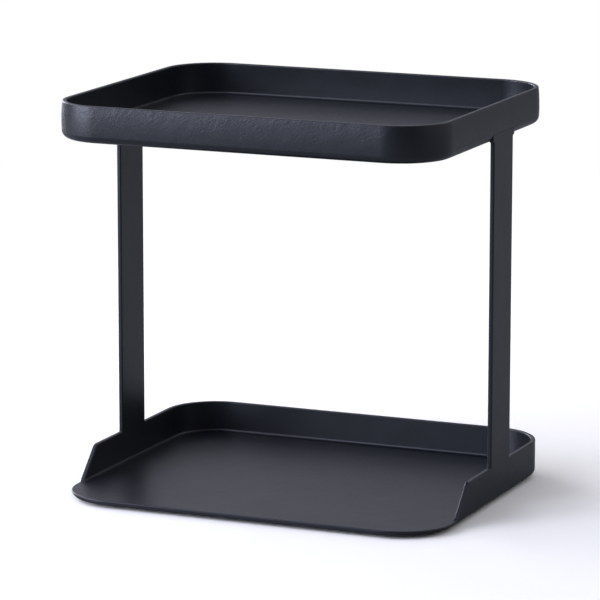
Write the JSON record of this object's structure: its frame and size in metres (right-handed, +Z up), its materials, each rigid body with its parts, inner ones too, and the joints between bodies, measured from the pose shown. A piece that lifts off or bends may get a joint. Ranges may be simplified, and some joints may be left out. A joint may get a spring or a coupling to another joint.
{
  "type": "two-tier condiment rack",
  "caption": "Black steel countertop rack with a rimmed upper tray, an open-fronted lower tray with sloped side rims, and a flat post up each side.",
  "frame": {"origin": "on the surface the rack stands on, under the middle of its overall bounding box", "axes": "+Z up; +X to the viewer's right when facing the open front; -Y towards the viewer, +Y towards the back wall"},
  "size_m": [0.18, 0.15, 0.1778],
  "materials": {
    "top_tray_coat": "matte black powder coat, fine orange-peel texture",
    "bottom_tray_coat": "matte black powder coat, fine orange-peel texture",
    "post_coat": "matte black powder coat, fine orange-peel texture",
    "pad": "matte black rubber"
  },
  "bodies": {
    "root": {"top_tray": "top_tray_coat", "bottom_tray": "bottom_tray_coat", "left_post": "post_coat", "right_post": "post_coat", "foot_front_left": "pad", "foot_front_right": "pad", "foot_back_left": "pad", "foot_back_right": "pad"}
  },
  "joints": []
}
